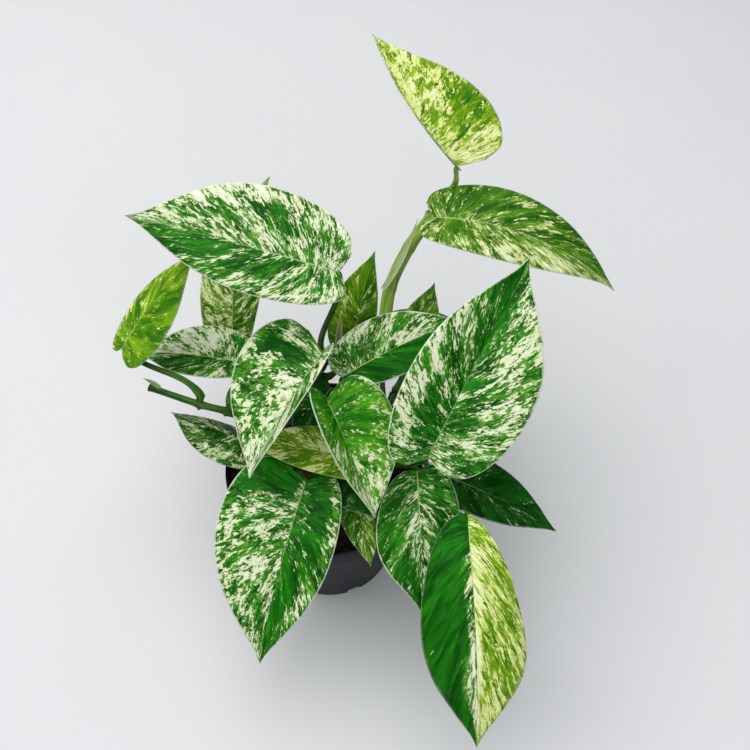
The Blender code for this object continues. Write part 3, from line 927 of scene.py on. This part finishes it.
def petiole_line(leaf):
    """(points, radii) along a leaf's stalk, from inside its vine's node to the blade."""
    vine = VINES[leaf.vine]
    node, base = mm(vine.path[leaf.at]), mm(leaf.base)
    ahead = mm(vine.path[min(leaf.at + 1, len(vine.path) - 1)])
    behind = mm(vine.path[leaf.at - 1])
    growth = (ahead - behind).normalized()
    toward = base - node
    outward = (toward - growth * toward.dot(growth)).normalized()
    if leaf.at == len(vine.path) - 1:
        start = node + growth * (CLEARANCE + PETIOLE_BASE_RADIUS)
        start += outward * PETIOLE_BASE_RADIUS
    else:
        beside = vine.radius * MM * NODE_SWELLING + PETIOLE_BASE_RADIUS + CLEARANCE
        start = node + outward * beside
    axes = blade_frame(leaf).to_3x3()
    up = axes.col[2]
    half_bend = math.radians(leaf.bend) / 2
    onward = axes @ Vector((0, math.cos(half_bend), math.sin(half_bend)))
    arrive = ((base - start).normalized() + onward * 0.2 + Vector((0, 0, 0.1))).normalized()
    # A stalk that meets the blade from straight below can end nearer to it.
    upright = max(arrive.dot(up), 0) ** 2
    end = base - arrive * PETIOLE_END_GAP * (1 - 0.5 * upright)
    end -= up * PETIOLE_END_GAP * 0.6 * (1 - upright)
    span = (end - start).length
    leave = (growth + outward).normalized()
    reach = span * HANDLE_LENGTH
    handles = (start, start + leave * reach, end - arrive * reach, end)
    steps = max(int(span / STALK_STEP), 8)
    points = [node.lerp(start, 0.3)]
    radii = [PETIOLE_BASE_RADIUS]
    for i in range(steps + 1):
        f = i / steps
        weights = ((1 - f) ** 3, 3 * f * (1 - f) ** 2, 3 * f**2 * (1 - f), f**3)
        points.append(sum((h * w for h, w in zip(handles, weights)), Vector()))
        clasp = CLASP_SWELLING * math.exp(-((f / CLASP_LENGTH) ** 2))
        joint = JOINT_SWELLING * math.exp(-(((f - JOINT_PLACE) / JOINT_LENGTH) ** 2))
        taper = PETIOLE_BASE_RADIUS + (PETIOLE_TIP_RADIUS - PETIOLE_BASE_RADIUS) * f
        radii.append(taper * (1 + clasp + joint))
    points.append(end.lerp(base, 0.75) - up * BLADE_THICKNESS * 0.6)
    radii.append(PETIOLE_TIP_RADIUS * 0.75)
    return points, radii


def make_stems():
    """The vines, and the stalks of their leaves. Those of the tall vine are a lighter green."""
    light = stem_material("stem_light", LIGHT_STEM)
    deep = stem_material("stem_deep", DEEP_STEM)
    for name, vine in VINES.items():
        points, radii, rings = vine_line(name, vine)
        mesh = swept(name, points, radii, rings, VINE_SIDE, 0)
        made = light if name == "vine_tall" else deep
        piece(name.replace("vine", "stem", 1), mesh, [made], "vine", name)
    for name, leaf in LEAVES.items():
        points, radii = petiole_line(leaf)
        up = blade_frame(leaf).to_3x3().col[2]
        mesh = swept(name, points, radii, [0.0] * len(points), up, STALK_GROOVE)
        made = light if leaf.vine == "vine_tall" else deep
        stalk, petiole = (name.replace("leaf", word, 1) for word in ("stalk", "petiole"))
        piece(stalk, mesh, [made], "petiole", petiole)


def outer_radius(z):
    """The pot wall's outer radius at a height, under the rim band."""
    share = z / POT_HEIGHT
    return POT_BASE_RADIUS + (POT_RIM_RADIUS - RIM_BAND_STEP - POT_BASE_RADIUS) * share


def drain_cutter(number):
    """A hidden upright cylinder that cuts one of the drain holes in the pot's foot."""
    mesh = bpy.data.meshes.new(f"drain_cutter_{number}")
    shape = bmesh.new()
    bmesh.ops.create_cone(
        shape,
        cap_ends=True,
        segments=40,
        radius1=DRAIN_RADIUS,
        radius2=DRAIN_RADIUS,
        depth=DRAIN_DEPTH,
    )
    shape.to_mesh(mesh)
    shape.free()
    cutter = bpy.data.objects.new(mesh.name, mesh)
    bpy.context.scene.collection.objects.link(cutter)
    angle = math.tau * (number + 0.5) / DRAIN_HOLES
    reach = POT_BASE_RADIUS - DRAIN_RADIUS / 2
    cutter.location = (reach * math.cos(angle), reach * math.sin(angle), DRAIN_RISE)
    cutter.hide_render = True
    cutter.hide_viewport = True
    return cutter


def make_pot():
    """The pot's profile turned about its axis, with rounded edges and drain holes."""
    band_foot = POT_HEIGHT - RIM_BAND_HEIGHT
    profile = [
        (0, POT_WALL),
        (outer_radius(POT_WALL) - POT_WALL, POT_WALL),
        (outer_radius(band_foot) - POT_WALL, band_foot),
        (POT_RIM_RADIUS - POT_WALL, band_foot + RIM_BAND_STEP),
        (POT_RIM_RADIUS - POT_WALL, POT_HEIGHT),
        (POT_RIM_RADIUS, POT_HEIGHT),
        (POT_RIM_RADIUS, band_foot),
        (outer_radius(band_foot), band_foot),
        (outer_radius(0), 0),
        (0, 0),
    ]
    mesh = bpy.data.meshes.new("nursery_pot")
    edges = [(i, i + 1) for i in range(len(profile) - 1)]
    mesh.from_pydata([(r, 0, z) for r, z in profile], edges, [])
    pot = piece("nursery_pot", mesh, [pot_material()], "pot", "pot")
    screw = pot.modifiers.new("turn", "SCREW")
    screw.steps = screw.render_steps = TURN_STEPS
    screw.use_merge_vertices = True
    screw.merge_threshold = 0.00005
    screw.use_smooth_shade = True
    bevel = pot.modifiers.new("edges", "BEVEL")
    bevel.width = POT_EDGE_ROUND
    bevel.segments = 3
    bevel.limit_method = "ANGLE"
    bevel.angle_limit = math.radians(SHARP_ANGLE)
    for number in range(DRAIN_HOLES):
        hole = pot.modifiers.new(f"hole_{number}", "BOOLEAN")
        hole.operation = "DIFFERENCE"
        hole.object = drain_cutter(number)


def soil_place(radius, angle):
    """A point of the crumbly soil surface."""
    x, y = radius * math.cos(angle), radius * math.sin(angle)
    lumps = noise.fractal((x * 130, y * 130, 4), 0.9, 2.1, 4)
    return Vector((x, y, soil_top(radius) + SOIL_LUMPS * lumps))


def make_soil():
    """A disc of rings, lumpy on top, with a skirt down the inside of the pot."""
    edge = POT_RIM_RADIUS - POT_WALL - CLEARANCE
    around = TURN_STEPS
    mesh = bpy.data.meshes.new("potting_soil")
    shape = bmesh.new()
    rows = []
    for k in range(1, SOIL_RINGS + 1):
        row = [soil_place(edge * k / SOIL_RINGS, math.tau * i / around) for i in range(around)]
        rows.append([shape.verts.new(p) for p in row])
    gap = POT_WALL + CLEARANCE
    band_foot = POT_HEIGHT - RIM_BAND_HEIGHT
    skirt = (
        (edge, band_foot + RIM_BAND_STEP + CLEARANCE),
        (outer_radius(band_foot) - gap, band_foot),
        (outer_radius(gap) - gap, gap),
    )
    for radius, height in skirt:
        turns = [math.tau * i / around for i in range(around)]
        row = [(radius * math.cos(a), radius * math.sin(a), height) for a in turns]
        rows.append([shape.verts.new(p) for p in row])
    for inner, outer in zip(rows, rows[1:]):
        for i in range(around):
            n = (i + 1) % around
            shape.faces.new((inner[i], outer[i], outer[n], inner[n]))
    shape.faces.new(rows[0])
    shape.faces.new(reversed(rows[-1]))
    bmesh.ops.recalc_face_normals(shape, faces=shape.faces)
    shape.to_mesh(mesh)
    shape.free()
    mesh.shade_smooth()
    piece("potting_soil", mesh, [soil_material()], "soil", "soil")


def grit(name, count, smallest, largest, sink, made, slot):
    """Loose grains on the soil, joined into one piece."""
    rng = random.Random(f"{SEED} {name}")
    mesh = bpy.data.meshes.new(name)
    shape = bmesh.new()
    reach = POT_RIM_RADIUS - POT_WALL - largest * 1.6
    for number in range(count):
        radius, angle = reach * math.sqrt(rng.random()), rng.uniform(0, math.tau)
        size = rng.uniform(smallest, largest)
        grain = bmesh.ops.create_icosphere(shape, subdivisions=2, radius=size)["verts"]
        turn = Matrix.Rotation(rng.uniform(0, math.tau), 3, rng.choice("XYZ"))
        squash = Matrix.Diagonal((1, rng.uniform(0.6, 1), rng.uniform(0.5, 0.9)))
        centre = soil_place(radius, angle) + Vector((0, 0, size * (1 - sink)))
        for vert in grain:
            rough = 1 + 0.35 * noise.noise(vert.co / size * 1.7 + Vector((number, 0, 0)))
            vert.co = turn @ squash @ (vert.co * rough) + centre
    shape.to_mesh(mesh)
    shape.free()
    mesh.shade_smooth()
    piece(name, mesh, [made], slot)


def make_root_buds():
    """Short brown root buds on the undersides of the nodes above the soil."""
    rng = random.Random(SEED)
    mesh = bpy.data.meshes.new("root_buds")
    shape = bmesh.new()
    for vine in VINES.values():
        path = [mm(p) for p in vine.path]
        for number in range(2, len(path) - 1):
            along = (path[number + 1] - path[number - 1]).normalized()
            down = Vector((rng.uniform(-0.5, 0.5), 0, -1))
            down = (down + along * rng.uniform(-0.2, 0.2)).normalized()
            out = (down - along * down.dot(along)).normalized()
            size = rng.uniform(*BUD_SIZES)
            bud = bmesh.ops.create_icosphere(shape, subdivisions=3, radius=size)["verts"]
            turn = out.to_track_quat("Z", "Y").to_matrix()
            centre = path[number] + out * vine.radius * MM * 1.15
            for vert in bud:
                vert.co = turn @ Vector((vert.co.x, vert.co.y, vert.co.z * BUD_STRETCH)) + centre
    shape.to_mesh(mesh)
    shape.free()
    mesh.shade_smooth()
    piece("root_buds", mesh, [bark_material()], "vine")


# Stage


def make_camera():
    camera = bpy.data.objects.new("camera", bpy.data.cameras.new("camera"))
    bpy.context.scene.collection.objects.link(camera)
    camera.location = CAMERA_PLACE
    camera.rotation_euler = (math.radians(90 - CAMERA_DOWN), 0, 0)
    camera.data.lens = CAMERA_LENS
    camera.data.sensor_width = SENSOR
    camera.data.clip_start = 0.01
    bpy.context.scene.camera = camera


def make_floor():
    mesh = bpy.data.meshes.new("floor")
    shape = bmesh.new()
    bmesh.ops.create_grid(shape, x_segments=1, y_segments=1, size=FLOOR_REACH)
    shape.to_mesh(mesh)
    shape.free()
    floor = bpy.data.objects.new("floor", mesh)
    bpy.context.scene.collection.objects.link(floor)
    mesh.materials.append(floor_material())


def area_light(name, place, size, power, colour):
    """A square light that faces the middle of the object."""
    light = bpy.data.lights.new(name, "AREA")
    light.size = size
    light.energy = power
    light.color = colour
    obj = bpy.data.objects.new(name, light)
    bpy.context.scene.collection.objects.link(obj)
    obj.location = place
    middle = (CAD_BOX[0] + CAD_BOX[1]) / 2
    obj.rotation_euler = (middle - obj.location).to_track_quat("-Z", "Y").to_euler()


def make_light():
    world = bpy.data.worlds.new("sky")
    bpy.context.scene.world = world
    world.use_nodes = True
    sky = world.node_tree.nodes["Background"]
    sky.inputs["Color"].default_value = SKY_COLOUR
    sky.inputs["Strength"].default_value = SKY_STRENGTH
    area_light("key", *KEY_LIGHT)
    area_light("fill", *FILL_LIGHT)
    view = bpy.context.scene.view_settings
    view.view_transform = "Standard"
    view.look = "None"


make_camera()
make_light()
make_floor()
make_pot()
make_soil()
grit("soil_crumbs", *CRUMBS, soil_material(), "soil")
grit("perlite", *PERLITE, perlite_material(), None)
make_stems()
make_root_buds()
make_blades()
make_sheaths()
